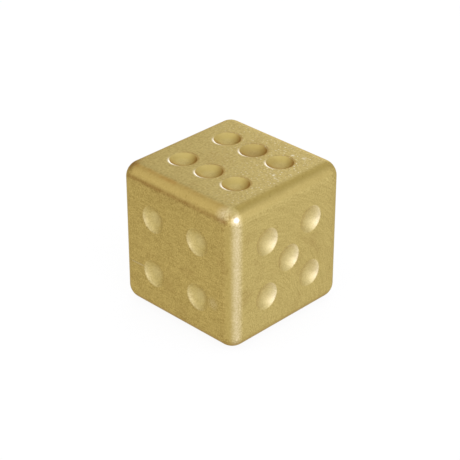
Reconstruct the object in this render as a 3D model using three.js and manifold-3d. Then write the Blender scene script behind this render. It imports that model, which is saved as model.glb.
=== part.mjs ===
// A solid brass die: a cube of bar stock with filleted edges and ball corners, and spherical pips
// milled straight into its faces. Opposite faces add up to seven. Millimetres, +Z up, standing on z = 0.

import * as THREE from 'three';
import { RoundedBoxGeometry } from 'three/addons/geometries/RoundedBoxGeometry.js';
import { mergeVertices, toCreasedNormals } from 'three/addons/utils/BufferGeometryUtils.js';
import Module from 'manifold-3d';

// Driving dimensions
const edge = 16;           // across two opposite faces
const edgeRadius = 1.7;    // fillet along every edge, and ball at every corner
const pipDiameter = 2.9;   // mouth of a pip, measured before its rim is rounded
const pipDepth = 0.6;      // face to the bottom of a pip
const rimBreak = 0.25;     // radius that the rim of a pip is rounded to
const pipOffset = 3.15;    // centre lines of a face to the outer pips, and to both rows of the six
const sixPitch = 3.7;      // between neighbours along a row of the six

// How finely the round forms are faceted
const filletSteps = 6;
const pipSides = 28;
const dishSteps = 4;
const rimSteps = 3;

const cutterRise = 1;      // how far a pip cutter stands out of the face
const creaseAngle = THREE.MathUtils.degToRad(25);

const brass = new THREE.MeshStandardMaterial({ color: '#b8a369', roughness: 0.42, metalness: 1 });

const wasm = await Module();
wasm.setup();

// A closed geometry as a solid, with its shared vertices merged and the slivers at its poles left out.
function toSolid(geometry) {
  const bare = geometry.clone();
  bare.deleteAttribute('normal');
  bare.deleteAttribute('uv');
  const merged = mergeVertices(bare);
  const corners = merged.index.array;
  const triangles = [];
  for (let i = 0; i < corners.length; i += 3) {
    const [a, b, c] = corners.slice(i, i + 3);
    if (a !== b && b !== c && c !== a) triangles.push(a, b, c);
  }
  return new wasm.Manifold(new wasm.Mesh({
    numProp: 3,
    vertProperties: merged.attributes.position.array,
    triVerts: Uint32Array.from(triangles),
  }));
}

function toGeometry(solid) {
  const { vertProperties, triVerts } = solid.getMesh();
  const geometry = new THREE.BufferGeometry();
  geometry.setAttribute('position', new THREE.BufferAttribute(vertProperties, 3));
  geometry.setIndex(new THREE.BufferAttribute(triVerts, 1));
  return toCreasedNormals(geometry, creaseAngle);
}

// Points along an arc, from one angle to another, both ends included.
function arc(centre, radius, start, end, steps) {
  return Array.from({ length: steps + 1 }, (_, i) => {
    const angle = THREE.MathUtils.lerp(start, end, i / steps);
    return new THREE.Vector2(Math.cos(angle), Math.sin(angle)).multiplyScalar(radius).add(centre);
  });
}

// The form that mills one pip, turned about +Z with the face at z = 0. Its profile follows the ball of the
// dish up to a small round of the rim, which is tangent to the ball and to the face.
function pipCutter() {
  const mouthRadius = pipDiameter / 2;
  const ballRadius = (mouthRadius ** 2 + pipDepth ** 2) / (2 * pipDepth);
  const ballCentre = new THREE.Vector2(0, ballRadius - pipDepth);
  const reach = ballRadius + rimBreak;
  const drop = ballCentre.y + rimBreak;
  const rimCentre = new THREE.Vector2(Math.sqrt(reach ** 2 - drop ** 2), -rimBreak);
  const tangent = rimCentre.clone().sub(ballCentre).angle() - 2 * Math.PI;

  const dish = arc(ballCentre, ballRadius, -Math.PI / 2, tangent, dishSteps);
  dish[0].x = 0;
  const rim = arc(rimCentre, rimBreak, tangent + Math.PI, Math.PI / 2, rimSteps);
  const top = [new THREE.Vector2(rimCentre.x, cutterRise), new THREE.Vector2(0, cutterRise)];
  const profile = [...dish, ...rim.slice(1), ...top];
  return new THREE.LatheGeometry(profile, pipSides).rotateX(Math.PI / 2);
}

// Where the pips lie on a face, as distances across and up from its centre
const centre = [[0, 0]];
const risingPair = [[-pipOffset, -pipOffset], [pipOffset, pipOffset]];
const fallingPair = [[-pipOffset, pipOffset], [pipOffset, -pipOffset]];
const square = [...risingPair, ...fallingPair];
const rows = [-sixPitch, 0, sixPitch].flatMap((across) => [[across, -pipOffset], [across, pipOffset]]);

const front = new THREE.Vector3(0, -1, 0);
const back = new THREE.Vector3(0, 1, 0);
const left = new THREE.Vector3(-1, 0, 0);
const right = new THREE.Vector3(1, 0, 0);
const top = new THREE.Vector3(0, 0, 1);
const bottom = new THREE.Vector3(0, 0, -1);

const faces = [
  { normal: bottom, up: front, pips: centre },
  { normal: left, up: top, pips: risingPair },
  { normal: back, up: top, pips: [...centre, ...risingPair] },
  { normal: front, up: top, pips: square },
  { normal: right, up: top, pips: [...centre, ...square] },
  { normal: top, up: back, pips: rows },
];

function makeDieBody() {
  const cutter = pipCutter();
  let body = toSolid(new RoundedBoxGeometry(edge, edge, edge, filletSteps, edgeRadius));
  for (const { normal, up, pips } of faces) {
    const across = new THREE.Vector3().crossVectors(up, normal);
    const facing = new THREE.Matrix4().makeBasis(across, up, normal);
    for (const [x, y] of pips) {
      const pip = cutter.clone().translate(x, y, edge / 2).applyMatrix4(facing);
      body = body.subtract(toSolid(pip));
    }
  }
  const mesh = new THREE.Mesh(toGeometry(body), brass);
  mesh.name = 'die_body';
  mesh.position.z = edge / 2;
  return mesh;
}

const die = new THREE.Group();
die.name = 'brass_die';
die.add(makeDieBody());

export default die;
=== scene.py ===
from types import SimpleNamespace
import bpy
import numpy as np
from mathutils import Matrix, Vector


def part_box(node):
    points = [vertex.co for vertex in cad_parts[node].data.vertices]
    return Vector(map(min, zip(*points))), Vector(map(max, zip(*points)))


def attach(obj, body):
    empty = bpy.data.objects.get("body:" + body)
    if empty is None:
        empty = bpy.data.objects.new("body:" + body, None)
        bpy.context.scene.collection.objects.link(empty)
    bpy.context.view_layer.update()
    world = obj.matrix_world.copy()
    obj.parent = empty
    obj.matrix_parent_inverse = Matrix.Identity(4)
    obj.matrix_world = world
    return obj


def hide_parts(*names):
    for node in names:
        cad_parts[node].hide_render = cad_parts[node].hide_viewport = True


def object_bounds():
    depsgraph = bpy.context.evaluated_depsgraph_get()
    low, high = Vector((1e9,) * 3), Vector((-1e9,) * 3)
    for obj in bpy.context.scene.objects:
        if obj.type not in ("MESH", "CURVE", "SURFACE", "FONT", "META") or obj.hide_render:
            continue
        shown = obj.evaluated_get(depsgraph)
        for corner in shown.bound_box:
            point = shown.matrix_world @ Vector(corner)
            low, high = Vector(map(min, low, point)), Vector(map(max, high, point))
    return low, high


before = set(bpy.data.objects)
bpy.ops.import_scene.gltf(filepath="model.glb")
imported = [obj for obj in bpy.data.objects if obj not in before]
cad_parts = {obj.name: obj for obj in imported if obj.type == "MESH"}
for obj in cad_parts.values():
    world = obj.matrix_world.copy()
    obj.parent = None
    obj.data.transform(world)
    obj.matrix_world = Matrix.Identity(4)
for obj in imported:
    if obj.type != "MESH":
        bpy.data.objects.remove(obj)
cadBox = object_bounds()
mm = 0.001
scene = bpy.context.scene
scene.view_settings.view_transform = "Standard"
print("frame loaded")


# Patches of surface are gathered as arrays, then welded into one mesh

weldGap = 1e-8    # m, points that share a cell of this size become one
weldShift = 0.25    # of a cell, keeps points that lie on round sizes away from the borders of the cells
noTriangles, noQuads = np.zeros((0, 3), int), np.zeros((0, 4), int)
markNames = ("sunk", "bend", "lip", "brown", "rubbed")


class Patches:
    def __init__(self):
        self.points, self.normals, self.marks = [], [], []
        self.triangles, self.quads = [], []
        self.count = 0

    # Faces are turned so that the first one looks the same way as its given normals
    def add(self, points, normals, marks, triangles=noTriangles, quads=noQuads):
        first = triangles[0] if len(triangles) else quads[0]
        a, b, c = points[first[:3]]
        order = -1 if np.dot(np.cross(b - a, c - a), normals[first].sum(0)) < 0 else 1
        self.points.append(points)
        self.normals.append(normals)
        self.marks.append(marks)
        self.triangles.append(triangles[:, ::order] + self.count)
        self.quads.append(quads[:, ::order] + self.count)
        self.count += len(points)

    def weld(self, name):
        points = np.concatenate(self.points)
        keys = np.round(points / weldGap + weldShift).astype(np.int64)
        _, keep, index = np.unique(keys, axis=0, return_index=True, return_inverse=True)
        index = index.ravel()
        triangles, quads = (index[np.concatenate(faces)].tolist() for faces in (self.triangles, self.quads))
        mesh = bpy.data.meshes.new(name)
        mesh.from_pydata(points[keep].tolist(), [], triangles + quads)
        marks = np.concatenate(self.marks)[keep]
        for column, markName in enumerate(markNames):
            layer = mesh.attributes.new(markName, "FLOAT", "POINT")
            layer.data.foreach_set("value", np.ascontiguousarray(marks[:, column], dtype=np.float32))
        mesh.shade_smooth()
        mesh.normals_split_custom_set_from_vertices(np.concatenate(self.normals)[keep])
        mesh.validate()
        mesh.update()
        piece = bpy.data.objects.new(name, mesh)
        scene.collection.objects.link(piece)
        return piece


def gridFaces(rows, columns, closed=False):
    # quads of a grid of points counted row by row, with the last column joined to the first if closed
    span = columns if closed else columns - 1
    i, j = np.meshgrid(np.arange(rows - 1), np.arange(span), indexing="ij")
    k = (j + 1) % columns
    quads = np.stack([i * columns + j, (i + 1) * columns + j, (i + 1) * columns + k, i * columns + k], -1)
    return quads.reshape(-1, 4)


def bendMarks(bend):
    # edges and corners carry no other mark
    marks = np.zeros((len(bend), len(markNames)))
    marks[:, markNames.index("bend")] = bend
    return marks


# The die, all sizes in millimetres as in the solid

dieShape = {
    "edgeRadius": 1.7, "pipDiameter": 2.9, "pipDepth": 0.6, "rimBreak": 0.25,
    "pipOffset": 3.15, "sixPitch": 3.7,
    "sixBreak": 1.2,                      # half width of the middle row of tiles on the six
    "collar": 0.02, "sixCollar": 0.15,    # flat ring that follows the rim
    "blankRing": 0.3625,                  # first ring of a tile without a pip
    "sideSteps": 24, "dishRings": 10, "rimRings": 8, "tileRings": 3, "filletSteps": 14,
}

corners = [(-1, -1), (1, 1), (-1, 1), (1, -1)]
dieFaces = [    # outward normal, direction that reads as up, pips by column and row
    ((0, 0, -1), (0, -1, 0), [(0, 0)]),
    ((-1, 0, 0), (0, 0, 1), corners[:2]),
    ((0, 1, 0), (0, 0, 1), [(0, 0)] + corners[:2]),
    ((0, -1, 0), (0, 0, 1), corners),
    ((1, 0, 0), (0, 0, 1), [(0, 0)] + corners),
    ((0, 0, 1), (0, 1, 0), corners + [(0, -1), (0, 1)]),
]

pipWear = {    # directions on the face, across and up, and shares
    "lipSide": (-0.25, -0.97), "lipGain": 3.0, "lipReach": 1.15, "lipPower": 6,
    "endSide": (0.92, 0.38), "endShare": 0.9, "endPower": 2,
    "lowSide": (0.45, -0.89), "lowShare": 0.26,
    "rimSide": (0.25, 0.97), "rimShare": 0.08,
    "rubbedSide": {4: (-0.35, -0.31), 5: (1.05, 0.2)}, "rubbedDish": 0.5, "rubbedRim": 0.35,
    "wallPower": 4,                       # keeps a mark to the steep wall of the dish
}


def pipProfile():
    # The tilt of the surface grows from the pole along a ball of radius R, then falls back to zero along the
    # small round of the rim: on the ball radius = R sin(tilt), on the rim rimCentre - rimBreak sin(tilt)
    s = dieShape
    mouth, depth, rim = s["pipDiameter"] / 2, s["pipDepth"], s["rimBreak"]
    ball = (mouth ** 2 + depth ** 2) / (2 * depth)
    rimCentre = np.sqrt((ball + rim) ** 2 - (ball - depth + rim) ** 2)
    steepest = np.arcsin(rimCentre / (ball + rim))
    dish = np.linspace(0, steepest, s["dishRings"] + 1)[1:]
    turn = np.linspace(steepest, 0, s["rimRings"] + 1)[1:]
    radius = np.concatenate([ball * np.sin(dish), rimCentre - rim * np.sin(turn)])
    height = np.concatenate([ball - depth - ball * np.cos(dish), rim * np.cos(turn) - rim])
    tilt = np.concatenate([dish, turn])
    onRim = np.concatenate([0 * dish, 1 - turn / steepest])
    return radius, height, tilt, onRim


def pipMarks(pipCount, tilts, onRims, rays):
    # Painted light and shade by the direction round a pip, fixed to the die: on the six a painted highlight
    # on one side of the rim and painted brownish shade on the far wall, the low side and the upper rim, on
    # four and five a painted highlight on one wall
    w = pipWear

    def towards(side):
        return np.maximum(0, rays @ np.array(side))

    slope = np.sin(tilts)
    wall = slope ** w["wallPower"]
    lip, brown, rubbed = 0 * slope, 0 * slope, 0 * slope
    # on the six: a painted highlight on one side of the rim, painted brownish shade on the far wall, the low
    # side and the upper rim
    if pipCount == 6:
        lip = np.sqrt(w["lipGain"] * onRims * (w["lipReach"] - onRims))
        lip = lip * towards(w["lipSide"]) ** w["lipPower"]
        brown = w["endShare"] * wall * towards(w["endSide"]) ** w["endPower"]
        brown = brown + w["lowShare"] * slope * towards(w["lowSide"])
        brown = brown + w["rimShare"] * onRims * towards(w["rimSide"])
    # on four and five: a painted highlight on one wall of each pip
    if pipCount in w["rubbedSide"]:
        rubbed = w["rubbedDish"] * wall + w["rubbedRim"] * onRims * (1 - onRims)
        rubbed = rubbed * towards(w["rubbedSide"][pipCount])
    return np.column_stack([lip, brown, rubbed])


def tileBorder(x, y, steps):
    # points round a rectangle, the same number on each side: corner + share * way to the next corner
    corner = np.array([(x[0], y[0]), (x[1], y[0]), (x[1], y[1]), (x[0], y[1])])
    way = np.roll(corner, -1, axis=0) - corner
    share = np.arange(steps)[None, :, None] / steps
    return (corner[:, None] + share * way[:, None]).reshape(-1, 2)


def dieTile(patches, place, x, y, centre, hasPip, pipCount):
    # Rings round the centre: the pip's profile turned about its axis, then rings that pass from its circle to
    # the border of the tile, point = (1 - share) circle + share border
    s = dieShape
    axes, middle, half = place
    border = tileBorder(x, y, s["sideSteps"])
    ray = border - centre
    ray /= np.linalg.norm(ray, axis=1, keepdims=True)
    around = len(border)
    if hasPip:
        radius, height, tilt, onRim = (np.append(row, row[-1]) for row in pipProfile())
        radius[-1] += s["sixCollar"] if pipCount == 6 else s["collar"]
        onRim[-1] = 0
    else:
        radius, height, tilt, onRim = np.array([[s["blankRing"]], [0], [0], [0]])
    share = np.linspace(0, 1, s["tileRings"] + 1)[1:, None, None]
    circle = centre + radius[:, None, None] * ray
    flat = (1 - share) * circle[-1] + share * border
    plan = np.concatenate([circle, flat]).reshape(-1, 2)
    rings = len(radius) + s["tileRings"]
    level = np.zeros(s["tileRings"])
    heights, tilts, onRims = (np.repeat(np.append(row, level), around) for row in (height, tilt, onRim))
    rays = np.tile(ray, (rings, 1))
    local = np.vstack([[*centre, -s["pipDepth"] * hasPip], np.column_stack([plan, heights])])
    normals = np.vstack([[0, 0, 1], np.column_stack([-np.sin(tilts)[:, None] * rays, np.cos(tilts)])])
    marks = np.zeros((len(local), len(markNames)))
    marks[:, 0] = -local[:, 2] / s["pipDepth"]
    marks[1:, 2:] = pipMarks(pipCount, tilts, onRims, rays)
    i = np.arange(around)
    fan = np.stack([0 * i, 1 + i, 1 + (i + 1) % around], -1)
    points = (middle + local @ axes + half * axes[2]) * mm
    patches.add(points, normals @ axes, marks, fan, gridFaces(rings, around, closed=True) + 1)


def makeDie():
    s = dieShape
    low, high = (np.array(corner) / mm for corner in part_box("die_body"))
    half = (high - low)[0] / 2
    middle = (low + high) / 2
    flat = half - s["edgeRadius"]
    patches = Patches()
    borders = {}    # stations along a flat's border, by face normal and axis

    for normal, up, pips in dieFaces:
        axes = np.array([np.cross(up, normal), up, normal], float)
        six = len(pips) == 6
        pitch = (s["sixPitch"] if six else s["pipOffset"], s["pipOffset"])
        breaks = (pitch[0] / 2, s["sixBreak"] if six else pitch[1] / 2)
        lines = [np.array([-flat, -b, b, flat]) for b in breaks]
        for column in (-1, 0, 1):
            for row in (-1, 0, 1):
                centre = np.array([column * pitch[0], row * pitch[1]])
                x, y = lines[0][column + 1:column + 3], lines[1][row + 1:row + 3]
                dieTile(patches, (axes, middle, half), x, y, centre, (column, row) in pips, len(pips))
        share = np.arange(s["sideSteps"]) / s["sideSteps"]
        for axis, line in zip(axes[:2], lines):
            stations = np.append((line[:-1, None] + np.diff(line)[:, None] * share).ravel(), flat)
            borders[normal, int(np.argmax(np.abs(axis)))] = stations

    # Edges: a quarter round carried between the borders of two flats, normal = cos(turn) a + sin(turn) b
    normals = [np.array(normal, float) for normal, _, _ in dieFaces]
    turn = np.linspace(0, np.pi / 2, s["filletSteps"] + 1)
    share = (turn / (np.pi / 2))[:, None]
    for i, a in enumerate(normals):
        for b in normals[i + 1:]:
            if np.dot(a, b):
                continue
            along = np.abs(np.cross(a, b))
            first, last = (borders[tuple(n.astype(int)), int(np.argmax(along))] for n in (a, b))
            stations = ((1 - share) * first + share * last).ravel()
            bends = np.repeat(np.outer(np.cos(turn), a) + np.outer(np.sin(turn), b), len(first), axis=0)
            points = middle + flat * (a + b) + np.outer(stations, along) + s["edgeRadius"] * bends
            marks = bendMarks(np.repeat(np.sin(2 * turn), len(first)))
            patches.add(points * mm, bends, marks, quads=gridFaces(len(turn), len(first)))

    # Corners: an eighth of a ball on a triangle of weights that add up to one, normal ~ sin(90 deg * weight)
    n = s["filletSteps"]
    i, j = np.indices((n + 1, n + 1)).reshape(2, -1)
    i, j = (line[i + j <= n] for line in (i, j))
    number = np.full((n + 2, n + 2), -1)
    number[i, j] = np.arange(len(i))
    upward = np.stack([number[i, j], number[i + 1, j], number[i, j + 1]], -1)
    downward = np.stack([number[i + 1, j], number[i + 1, j + 1], number[i, j + 1]], -1)
    triangles = np.concatenate([upward, downward])
    triangles = triangles[(triangles >= 0).all(1)]
    ball = np.sin(np.pi / 2 * np.stack([i, j, n - i - j], -1) / n)
    ball /= np.linalg.norm(ball, axis=1, keepdims=True)
    tip = 3 ** -0.5    # each share of the normal in the middle of a corner
    bend = np.maximum(1 - (ball.max(1) - tip) / (1 - tip), 0)
    for sign in np.indices((2, 2, 2)).reshape(3, -1).T * 2 - 1:
        points = middle + sign * (flat + s["edgeRadius"] * ball)
        patches.add(points * mm, sign * ball, bendMarks(bend), triangles)

    piece = patches.weld("brassDie")
    print("die built:", len(piece.data.vertices), "vertices,", len(piece.data.polygons), "faces")
    return piece


# Shader maths: an operator on a value adds its Math node

class Value:
    def __init__(self, graph, socket):
        self.graph, self.socket = graph, socket

    def math(self, operation, *inputs):
        return self.graph.node("Math", {"operation": operation}, dict(enumerate(inputs))).value()

    def __add__(self, other):
        return self.math("ADD", self, other)

    def __radd__(self, other):
        return self.math("ADD", other, self)

    def __sub__(self, other):
        return self.math("SUBTRACT", self, other)

    def __rsub__(self, other):
        return self.math("SUBTRACT", other, self)

    def __mul__(self, other):
        return self.math("MULTIPLY", self, other)

    def __rmul__(self, other):
        return self.math("MULTIPLY", other, self)

    def atLeast(self, other):
        return self.math("MAXIMUM", self, other)

    def atMost(self, other):
        return self.math("MINIMUM", self, other)


class Made:
    def __init__(self, graph, node):
        self.graph, self.node = graph, node

    def value(self, output=0):
        return Value(self.graph, self.node.outputs[output])


class Graph:
    def __init__(self, tree):
        self.tree = tree
        tree.nodes.clear()

    def node(self, kind, settings=None, inputs=None):
        made = self.tree.nodes.new("ShaderNode" + kind)
        for name, setting in (settings or {}).items():
            setattr(made, name, setting)
        for key, given in (inputs or {}).items():
            if isinstance(given, Value):
                self.tree.links.new(given.socket, made.inputs[key])
            else:
                made.inputs[key].default_value = given
        return Made(self, made)

    def mark(self, name):
        return self.node("Attribute", {"attribute_name": name}).value("Fac")

    def vector(self, operation, *inputs):
        return self.node("VectorMath", {"operation": operation}, dict(enumerate(inputs))).value()

    def split(self, vector):
        made = self.node("SeparateXYZ", None, {0: vector})
        return [made.value(axis) for axis in "XYZ"]

    def join(self, *parts):
        return self.node("CombineXYZ", None, dict(enumerate(parts))).value()

    def distance(self, at, centre):
        return self.node("VectorMath", {"operation": "DISTANCE"}, {0: at, 1: centre}).value("Value")

    def step(self, value, low, high):
        inputs = {"Value": value, "From Min": low, "From Max": high}
        return self.node("MapRange", {"interpolation_type": "SMOOTHSTEP"}, inputs).value()

    def band(self, value, low, high, soft):
        return self.step(value, low - soft, low + soft) * (1 - self.step(value, high - soft, high + soft))

    def spot(self, at, centre, radius):
        return 1 - self.step(self.distance(at, centre), 0.0, radius)

    def grain(self, at, scale, detail, roughness, low, high):
        inputs = {"Vector": at, "Scale": scale, "Detail": detail, "Roughness": roughness}
        return self.step(self.node("TexNoise", None, inputs).value(), low, high)

    def blend(self, factor, first, second):
        return self.node("Mix", {"data_type": "RGBA"}, {0: factor, 6: first, 7: second}).value(2)

    def tint(self, colour, factor):
        settings = {"data_type": "RGBA", "blend_type": "MULTIPLY"}
        return self.node("Mix", settings, {0: 1.0, 6: colour, 7: factor}).value(2)


# Brass: a tone for each face, pip and fillet, partly the brass's own colour and partly painted light and
# shade, then painted highlights and painted shade, and wear, tarnished stains and grain that stay with the
# die

brassTones = {    # linear red, green and blue
    "topDull": (0.482, 0.385, 0.148, 1), "topPale": (0.546, 0.440, 0.176, 1),
    "leftFace": (0.475, 0.354, 0.110, 1), "otherFace": (0.511, 0.401, 0.140, 1),
    "fillet": (0.503, 0.366, 0.116, 1), "deepGold": (0.395, 0.292, 0.080, 1),
    "pip": (0.570, 0.462, 0.192, 1), "topPip": (0.507, 0.390, 0.121, 1), "leftPip": (0.542, 0.428, 0.153, 1),
    "rubbed": (0.880, 0.760, 0.480, 1), "worn": (0.740, 0.620, 0.370, 1), "bright": (1.0, 0.980, 0.870, 1),
    "orange": (0.470, 0.265, 0.070, 1), "tarnish": (0.290, 0.160, 0.040, 1),
    "brown": (0.340, 0.165, 0.032, 1),
    "darkGrain": (0.76, 0.72, 0.64, 1), "lightGrain": (1.24, 1.28, 1.36, 1),    # factors on the tone
    "edgeTint": (0.80, 0.72, 0.55, 1),
}

brassGrain = {    # noise: features per mm, detail, roughness, and the values that count as none and as full
    "blast": (4.2, 1.0, 0.5, 0.28, 0.72), "fine": (6.5, 1.0, 0.5, 0.25, 0.75),
    "drawn": (1.0, 2.0, 0.5, 0.25, 0.75), "turned": (1.0, 1.0, 0.5, 0.25, 0.75),
    "mottle": (2.2, 2.0, 0.6, 0.25, 0.75), "pits": (2.6, 1.0, 0.5, 0.24, 0.34),
    "patchy": (0.9, 2.0, 0.5, 0.4, 0.6), "cloud": (0.45, 3.0, 0.55, 0.55, 0.8),
    "specks": (5.0, 0.0, 0.5, 0.64, 0.82),
    "streak": (0.8, 0.8, 5.0),    # drawn lines are long along the face and close in height
    "ringCentre": (0.0, -5.0, 1.0), "ringPitch": 5.0, "ringTurn": 6.0,
    "mottleShare": 0.55, "fineShare": 0.6, "turnedBase": 0.2, "turnedShare": 0.6,
    "topBase": 0.22, "topBlast": 0.41, "topFine": 0.13,
    "even": 0.5, "filletCalm": 0.6, "pipCalm": 0.35, "topPipCalm": 0.35,
    "pitShare": 0.25, "leftContrast": 0.35,
    "relief": 0.014, "filletSmooth": 0.7, "pipSmooth": 0.4,    # mm, then shares of it that are lost
}

brassRoughness = {
    "face": 0.56, "fillet": 0.36, "pip": 0.53, "lip": 0.25, "worn": 0.55, "fine": 0.12, "glint": 0.10,
}

# wear, stains and nicks, together with painted highlights and painted shade
brassWear = {    # ramps and bands in mm outside the flats, spots as centre and radius in mm, or shares
    "flat": 6.3, "middle": 8.0,    # mm, half of a flat and the height of the die's centre
    "onFace": (1.0, 1.4), "onPip": (0.0, 0.10), "onFillet": (0.4, 0.85),
    "topRamp": (-10, 10), "speckRamp": (-8, 8),         # mm of x + y, dull to pale
    "filletUp": (0.3, 0.8), "filletRight": (0.2, 0.8), "filletRightLess": 0.6,
    "topPipShare": 0.8, "rubbedGain": 4.5, "brownGain": 6.0, "markMost": 0.9,
    "frontBand": (0.48, 1.18, 0.40), "frontSide": (0.8, 1.3),
    "wornBase": 0.5, "wornFine": 0.5, "wornShare": 0.75, "wornCorner": ((6.35, -7.56, 15.42), 1.15),
    "upperBand": (0.5, 0.9, 0.2), "upperSide": (1.1, 1.35), "upperFade": (-3, 4), "upperFadeShare": 0.8,
    "orangePatchy": 0.7, "orangeBase": -0.1,
    "rightBand": (0.45, 1.15, 0.3), "rightSide": (0.8, 1.2), "rightEnd": (0.0, 0.7), "rightShare": 0.75,
    "underBand": (0.3, 0.8, 0.2), "underSide": (1.2, 1.5), "underShare": 0.15,
    "lowerBand": (0.35, 0.75, 0.2), "lowerSide": (1.35, 1.6), "lowerBase": 0.35, "lowerPatchy": 0.35,
    "sideBand": (0.1, 0.7, 0.3), "sideSide": (1.2, 1.5), "sideShare": 0.08,
    "creaseBand": (-0.46, -0.28, 0.08), "creaseUp": (0.7, 1.3, 0.12),
    "creaseRight": (0.3, 0.6), "creaseShare": 0.4,
    "leftBand": (13.9, 14.7, 0.4), "leftShare": 0.07,   # mm of height
    "footRamp": (0.3, 0.95), "footShare": 0.5,
    "backRamp": (0.35, 1.0), "backSide": (0.8, 1.2), "backShare": 0.3,
    "stain": ((-1.1, -8, 4.4), 1.3), "stainShare": 0.3, "cloudShare": 0.2,
    "darkSpots": [    # centre, radius and share
        ((-7.4, -6.9, 15.6), 1.9, 0.75), ((0, 3.15, 15.6), 2.4, 0.40), ((-1.3, -0.9, 16), 2.6, 0.10)],
    "tarnishMost": 0.85, "patchyBase": 0.4, "patchyShare": 0.6,
    "speckFlat": (1.65, 1.69), "speckShare": 0.45,
    "nicks": [
        ((5.15, 0.72, 16), 0.36), ((5.65, 0.3, 16), 0.26), ((3.64, 5.09, 16), 0.3), ((4.9, 5.41, 16), 0.36)],
    "nickFine": (0.2, 0.6), "nickShare": 0.6,
    "scribeAlong": (-6.5, -4.7, 0.2), "scribeHeight": (5.36, 5.46, 0.06),
    "scribeSlope": 0.06, "scribeShare": 0.15,
    "palePatch": ((5.3, -8, 5.0), 1.0), "paleShare": 0.12,
    "glint": ((7.60, -7.05, 14.99), 0.38), "glintShare": 0.75,
}


def placesOnDie(g):
    w = brassWear
    place = g.node("TexCoord").value("Object")
    at = g.node("VectorMath", {"operation": "SCALE"}, {0: place, "Scale": 1 / mm}).value()
    # How far a point lies outside the square of the flats: 1.7 mm along one axis on a face, less on a fillet
    low, high = np.array([(-1, -1, -1), (1, 1, 1)]) * w["flat"] + (0, 0, w["middle"])
    inner = g.vector("MINIMUM", g.vector("MAXIMUM", at, tuple(low)), tuple(high))
    outX, outY, outZ = g.split(g.vector("SUBTRACT", at, inner))
    d = SimpleNamespace(at=at, outX=outX, front=0 - outY, outZ=outZ)
    d.x, d.y, d.z = g.split(at)
    d.lip, d.brown, d.rubbed = (g.mark(name) for name in ("lip", "brown", "rubbed"))
    d.pip = g.step(g.mark("sunk"), *w["onPip"])
    d.fillet = g.step(g.mark("bend"), *w["onFillet"])
    d.top, d.left, d.right = (g.step(out, *w["onFace"]) for out in (d.outZ, d.front, d.outX))
    return d


def grainOnDie(g, d):
    # blasted on top, drawn along the left face, turned about a low centre on the right face
    s = brassGrain
    d.fine = g.grain(d.at, *s["fine"])
    blast = g.grain(d.at, *s["blast"])
    drawn = g.grain(g.vector("MULTIPLY", d.at, s["streak"]), *s["drawn"])
    drawn = drawn * (1 - s["mottleShare"]) + g.grain(d.at, *s["mottle"]) * s["mottleShare"]
    away = g.vector("SUBTRACT", d.at, s["ringCentre"])
    _, across, up = g.split(away)
    radius = g.distance(g.vector("MULTIPLY", away, (0, 1, 1)), (0, 0, 0))
    angle = up.math("ARCTAN2", up, across)
    turned = g.grain(g.join(radius * s["ringPitch"], angle * s["ringTurn"], d.outX), *s["turned"])
    lines = drawn + (s["turnedBase"] + s["turnedShare"] * turned - drawn) * d.right
    sides = d.fine * s["fineShare"] + (1 - s["fineShare"]) * lines
    blasted = s["topBase"] + blast * s["topBlast"] + d.fine * s["topFine"]
    grain = sides + (blasted - sides) * d.top * (1 - d.pip)
    calm = (d.fillet * s["filletCalm"]).atLeast(d.pip * (s["pipCalm"] + s["topPipCalm"] * d.top))
    grain = grain + (s["even"] - grain) * calm
    pits = 1 - g.grain(d.at, *s["pits"])
    return grain - s["pitShare"] * pits * (1 - d.pip)


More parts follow.
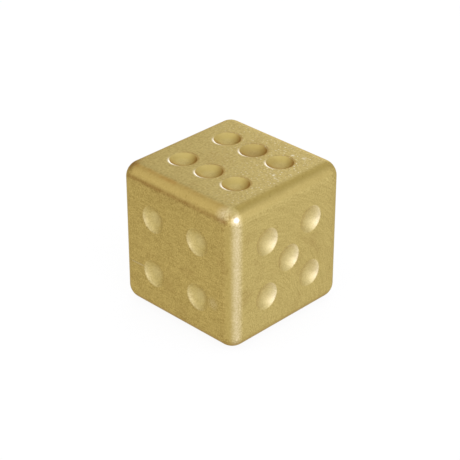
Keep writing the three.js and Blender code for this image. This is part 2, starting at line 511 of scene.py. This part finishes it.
def tonesOnDie(g, d):
    w, tones = brassWear, brassTones
    colour = g.blend(d.left, tones["otherFace"], tones["leftFace"])
    # painted light: the top is paler towards its right and back, the side that faces the light
    top = g.blend(g.step(d.x + d.y, *w["topRamp"]), tones["topDull"], tones["topPale"])
    colour = g.blend(d.top, colour, top)
    golden = g.step(d.outZ, *w["filletUp"]) * (1 - w["filletRightLess"] * g.step(d.outX, *w["filletRight"]))
    colour = g.blend(d.fillet * golden, colour, tones["fillet"])
    colour = g.blend(d.pip, colour, tones["pip"])
    colour = g.blend(d.pip * d.top * w["topPipShare"], colour, tones["topPip"])
    colour = g.blend(d.pip * d.left, colour, tones["leftPip"])
    # painted highlight on one wall of the pips of four and five
    colour = g.blend((d.rubbed * w["rubbedGain"]).atMost(w["markMost"]), colour, tones["rubbed"])

    # Painted highlights: a pale band down the front edge and a pale spot on the corner beside it; the upper
    # fillets show orange and deep gold lines
    dusty = w["wornBase"] + w["wornFine"] * d.fine
    d.worn = g.band(d.front, *w["frontBand"]) * g.step(d.outX, *w["frontSide"]) * dusty
    d.worn = d.worn.atLeast(g.spot(d.at, *w["wornCorner"]) * dusty)
    colour = g.blend(d.worn * w["wornShare"], colour, tones["worn"])
    patchy = w["patchyBase"] + w["patchyShare"] * g.grain(d.at, *brassGrain["patchy"])
    upper = g.band(d.front, *w["upperBand"]) * g.step(d.outZ, *w["upperSide"])
    upper = upper * (1 - w["upperFadeShare"] * g.step(d.x, *w["upperFade"]))
    colour = g.blend(upper * (w["orangePatchy"] * patchy + w["orangeBase"]), colour, tones["orange"])
    right = g.band(d.outX, *w["rightBand"]) * g.step(d.outZ, *w["rightSide"])
    right = right * (1 - g.step(d.front, *w["rightEnd"]))
    colour = g.blend(right * w["rightShare"], colour, tones["deepGold"])
    under = g.band(d.outZ, *w["underBand"]) * g.step(d.outX, *w["underSide"])
    colour = g.blend(under * w["underShare"], colour, tones["deepGold"])

    # Painted shade along the lower line of the left fillet and on the left face below it, on the left of the
    # front band, at the foot and in a dark line down the front corner; darker in spots and along the top edge
    # of the back left face; real tarnishing in a stain and in clouds
    lower = g.band(d.outZ, *w["lowerBand"]) * g.step(d.front, *w["lowerSide"])
    tarnish = lower * (w["lowerBase"] + w["lowerPatchy"] * patchy)
    side = g.band(d.outX, *w["sideBand"]) * g.step(d.front, *w["sideSide"])
    tarnish = tarnish + side * w["sideShare"]
    for centre, radius, share in w["darkSpots"]:
        tarnish = tarnish + g.spot(d.at, centre, radius) * share
    tarnish = tarnish + g.spot(d.at, *w["stain"]) * w["stainShare"] * d.fine
    tarnish = tarnish + g.grain(d.at, *brassGrain["cloud"]) * w["cloudShare"]
    # a painted dark line down the front corner, between its painted highlights
    crease = g.band(d.outX - d.front, *w["creaseBand"]) * g.band(d.outZ, *w["creaseUp"])
    tarnish = tarnish + crease * g.step(d.outX, *w["creaseRight"]) * w["creaseShare"]
    tarnish = tarnish + g.band(d.z, *w["leftBand"]) * d.left * w["leftShare"]
    tarnish = tarnish + g.step(0 - d.outZ, *w["footRamp"]) * w["footShare"]
    back = g.step(0 - d.outX, *w["backRamp"]) * g.step(d.outZ, *w["backSide"])
    tarnish = tarnish + back * w["backShare"]
    colour = g.blend(tarnish.atMost(w["tarnishMost"]), colour, tones["tarnish"])
    # painted brownish shade in the pips of the six, on the far wall, the low side and the upper rim
    return g.blend((d.brown * w["brownGain"]).atMost(w["markMost"]), colour, tones["brown"])


def brightMarks(g, d):
    # painted sparkle highlights on the blasted top, nicks, a scribed line, a pale patch, painted highlights
    # on the rims of the six and a painted highlight spot on the corner
    w = brassWear
    # painted sparkle highlights on the blasted top, more towards its right and back
    specks = g.grain(d.at, *brassGrain["specks"]) * g.step(d.outZ, *w["speckFlat"])
    marks = specks * g.step(d.x + d.y, *w["speckRamp"]) * w["speckShare"]
    rough = g.step(d.fine, *w["nickFine"]) * w["nickShare"]
    for centre, radius in w["nicks"]:
        marks = marks.atLeast(g.spot(d.at, centre, radius) * rough)
    scribe = g.band(d.x, *w["scribeAlong"]) * g.band(d.z - w["scribeSlope"] * d.x, *w["scribeHeight"])
    marks = marks.atLeast(scribe * d.left * w["scribeShare"])
    marks = marks.atLeast(g.spot(d.at, *w["palePatch"]) * d.fine * w["paleShare"])
    # a painted highlight spot on the front top corner
    d.glint = g.spot(d.at, *w["glint"])
    return marks.atLeast(d.lip.atLeast(d.glint * w["glintShare"]))


def brassMaterial():
    material = bpy.data.materials.new("grained brass")
    material.use_nodes = True
    g = Graph(material.node_tree)
    d = placesOnDie(g)
    grain = grainOnDie(g, d)
    contrast = grain + brassGrain["leftContrast"] * d.left * (grain - brassGrain["even"])
    colour = g.tint(tonesOnDie(g, d), g.blend(contrast, brassTones["darkGrain"], brassTones["lightGrain"]))
    colour = g.blend(brightMarks(g, d), colour, brassTones["bright"])

    r = brassRoughness
    roughness = r["face"] + (r["fillet"] - r["face"]) * d.fillet
    roughness = roughness + (r["pip"] - roughness) * d.pip
    roughness = roughness + (r["lip"] - roughness) * d.lip
    roughness = roughness + (r["worn"] - roughness) * d.worn
    roughness = roughness + r["fine"] * (d.fine - brassGrain["even"]) - r["glint"] * d.glint
    height = grain * (1 - brassGrain["filletSmooth"] * d.fillet) * (1 - brassGrain["pipSmooth"] * d.pip)
    height = height * (1 - d.glint)
    bump = g.node("Bump", None, {"Height": height, "Distance": brassGrain["relief"] * mm, "Strength": 1.0})
    shader = g.node("BsdfPrincipled", None, {
        "Base Color": colour, "Metallic": 1.0, "Roughness": roughness,
        "Specular Tint": brassTones["edgeTint"], "Normal": bump.value()})
    g.node("OutputMaterial", None, {"Surface": shader.value()})
    print("brass finished")
    return material


# Floor, light and camera

studio = {
    "floorSize": 3.0, "boxDistance": 0.5,               # m
    "shadow": 0.09,                                     # share of the floor's own shading that is seen
    "room": (0.92, 0.92, 0.90, 1), "dark": (0.66, 0.62, 0.55, 1),
    "darkSide": (168, 18, 62),    # degrees, azimuth and elevation of its middle, and its reach
    "aim": (-0.142, -0.046), "distance": 165.56,        # mm
    "azimuth": 44.54, "elevation": 30.16,               # degrees
    "lens": 126.1, "sensor": 36.0, "nearest": 10.0,     # mm
}

softboxes = {    # azimuth and elevation of the middle, width and height in degrees; red, green, blue watts
    "key": (336, 14, 50, 38, (0.90, 0.98, 1.68)),
    "rightFill": (15, 22, 34, 52, (0.44, 0.48, 0.70)),
    "frontFill": (296, 14, 26, 36, (0.14, 0.14, 0.17)),
    "leftFill": (248, 44, 64, 52, (0.26, 0.27, 0.31)),
    "sweep": (124, 16, 40, 36, (0.30, 0.31, 0.38)),
    "overhead": (200, 84, 50, 50, (0.22, 0.24, 0.28)),
}


def towardsSky(azimuth, elevation):
    a, e = np.radians((azimuth, elevation))
    return np.cos(a) * np.cos(e), np.sin(a) * np.cos(e), np.sin(e)


def makeFloor():
    h = studio["floorSize"] / 2
    mesh = bpy.data.meshes.new("floor")
    mesh.from_pydata([(-h, -h, 0), (h, -h, 0), (h, h, 0), (-h, h, 0)], [], [(0, 1, 2, 3)])
    floor = bpy.data.objects.new("floor", mesh)
    scene.collection.objects.link(floor)
    material = bpy.data.materials.new("white table")
    material.use_nodes = True
    g = Graph(material.node_tree)
    path = g.node("LightPath")
    seen = path.value("Is Camera Ray").atLeast(path.value("Is Glossy Ray"))
    seen = seen.atLeast(path.value("Is Transmission Ray"))
    paper = g.node("BsdfDiffuse", None, {"Color": (1, 1, 1, 1)}).value()
    white = g.node("Emission", None, {"Color": (1, 1, 1, 1), "Strength": 1.0}).value()
    both = g.node("MixShader", None, {0: seen * (1 - studio["shadow"]), 1: paper, 2: white})
    g.node("OutputMaterial", None, {"Surface": both.value()})
    mesh.materials.append(material)


def makeWorld():
    # the room is lighter all round than on its dark side
    world = bpy.data.worlds.new("room")
    scene.world = world
    world.use_nodes = True
    g = Graph(world.node_tree)
    away = g.vector("NORMALIZE", g.node("TexCoord").value("Generated"))
    azimuth, elevation, reach = studio["darkSide"]
    inputs = {0: away, 1: towardsSky(azimuth, elevation)}
    facing = g.node("VectorMath", {"operation": "DOT_PRODUCT"}, inputs).value("Value")
    colour = g.blend(g.step(facing, np.cos(np.radians(reach)), 1.0), studio["room"], studio["dark"])
    sky = g.node("Background", None, {"Color": colour, "Strength": 1.0})
    g.node("OutputWorld", None, {"Surface": sky.value()})


def makeSoftboxes(middle):
    for name, (azimuth, elevation, width, height, watts) in softboxes.items():
        away = Vector(towardsSky(azimuth, elevation))
        data = bpy.data.lights.new(name, "AREA")
        data.shape = "RECTANGLE"
        data.size, data.size_y = 2 * studio["boxDistance"] * np.tan(np.radians((width, height)) / 2)
        data.energy = max(watts)
        data.color = [channel / max(watts) for channel in watts]
        lamp = bpy.data.objects.new(name, data)
        lamp.location = middle + studio["boxDistance"] * away
        lamp.rotation_euler = away.to_track_quat("Z", "Y").to_euler()
        scene.collection.objects.link(lamp)


def makeCamera(middle):
    s = studio
    azimuth, elevation = np.radians(s["azimuth"]), np.radians(s["elevation"])
    level = np.cos(elevation)
    back = Vector((np.sin(azimuth) * level, -np.cos(azimuth) * level, np.sin(elevation)))
    right = Vector((np.cos(azimuth), np.sin(azimuth), 0))
    up = back.cross(right)
    place = middle + mm * (s["aim"][0] * right + s["aim"][1] * up + s["distance"] * back)
    data = bpy.data.cameras.new("camera")
    data.sensor_width = s["sensor"]
    data.lens = s["lens"]
    data.clip_start = s["nearest"] * mm
    camera = bpy.data.objects.new("camera", data)
    camera.matrix_world = Matrix.Translation(place) @ Matrix((right, up, back)).transposed().to_4x4()
    scene.collection.objects.link(camera)
    scene.camera = camera


die = makeDie()
die.data.materials.append(brassMaterial())
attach(die, "root")
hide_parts("die_body")

middle = sum((Vector(corner) for corner in cadBox), Vector()) / 2
makeFloor()
makeWorld()
makeSoftboxes(middle)
makeCamera(middle)
print("scene dressed")
